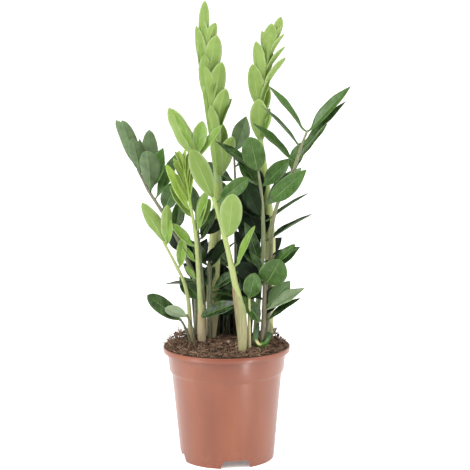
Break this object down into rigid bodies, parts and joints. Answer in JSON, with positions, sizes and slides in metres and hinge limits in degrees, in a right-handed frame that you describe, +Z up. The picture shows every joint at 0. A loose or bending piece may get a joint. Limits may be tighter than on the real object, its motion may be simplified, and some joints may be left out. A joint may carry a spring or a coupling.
{
  "type": "potted zz plant",
  "caption": "Potted ZZ plant: thick upright shoots with glossy leaflets and arching fronds rise from peat soil in a tapered terracotta-coloured plastic nursery pot.",
  "frame": {"origin": "centre of the pot's foot, on the surface that it stands on", "axes": "+Z is up along the pot's axis, -Y is the front, +X is the right seen from the front"},
  "size_m": [0.3103, 0.2218, 0.6077],
  "materials": {
    "terracotta_plastic": "satin",
    "peat_soil": "matte",
    "mature_leaf": "satin",
    "young_leaf": "satin",
    "young_stem": "satin",
    "mature_stem": "satin",
    "cut_sheath": "satin"
  },
  "bodies": {
    "root": {"back_frond_leaflet_1": "mature_leaf", "back_frond_stem": "mature_stem", "centre_frond_leaflet_1": "mature_leaf", "centre_frond_leaflet_2": "mature_leaf", "centre_frond_leaflet_3": "mature_leaf", "centre_frond_leaflet_4": "mature_leaf", "centre_frond_leaflet_5": "mature_leaf", "centre_frond_stem": "mature_stem", "cut_leaf_base": "cut_sheath", "front_shoot_leaflet_1": "young_leaf", "front_shoot_leaflet_2": "young_leaf", "front_shoot_leaflet_3": "young_leaf", "front_shoot_leaflet_4": "young_leaf", "front_shoot_leaflet_5": "young_leaf", "front_shoot_leaflet_6": "young_leaf", "front_shoot_stem": "young_stem", "inner_frond_leaflet_1": "mature_leaf", "inner_frond_leaflet_2": "mature_leaf", "inner_frond_stem": "mature_stem", "left_frond_leaflet_1": "mature_leaf", "left_frond_leaflet_2": "mature_leaf", "left_frond_leaflet_3": "mature_leaf", "left_frond_leaflet_4": "mature_leaf", "left_frond_leaflet_5": "mature_leaf", "left_frond_leaflet_6": "mature_leaf", "left_frond_leaflet_7": "mature_leaf", "left_frond_leaflet_8": "mature_leaf", "left_frond_stem": "mature_stem", "left_shoot_leaflet_1": "young_leaf", "left_shoot_leaflet_2": "young_leaf", "left_shoot_leaflet_3": "young_leaf", "left_shoot_stem": "young_stem", "low_frond_leaflet_1": "mature_leaf", "low_frond_leaflet_2": "mature_leaf", "low_frond_leaflet_3": "mature_leaf", "low_frond_stem": "mature_stem", "low_sprig": "mature_leaf", "mid_frond_leaflet_1": "mature_leaf", "mid_frond_leaflet_2": "mature_leaf", "mid_frond_stem": "mature_stem", "middle_shoot_furled_tip": "young_leaf", "middle_shoot_leaflet_1": "young_leaf", "middle_shoot_leaflet_2": "young_leaf", "middle_shoot_leaflet_3": "young_leaf", "middle_shoot_leaflet_4": "young_leaf", "middle_shoot_stem": "young_stem", "pot": "terracotta_plastic", "right_frond_leaflet_1": "mature_leaf", "right_frond_leaflet_2": "mature_leaf", "right_frond_leaflet_3": "mature_leaf", "right_frond_leaflet_4": "mature_leaf", "right_frond_leaflet_5": "mature_leaf", "right_frond_leaflet_6": "mature_leaf", "right_frond_stem": "mature_stem", "right_shoot_furled_tip": "young_leaf", "right_shoot_stem": "young_stem", "soil": "peat_soil", "tall_shoot_furled_tip": "young_leaf", "tall_shoot_stem": "young_stem", "young_sprig": "mature_leaf"}
  },
  "joints": []
}
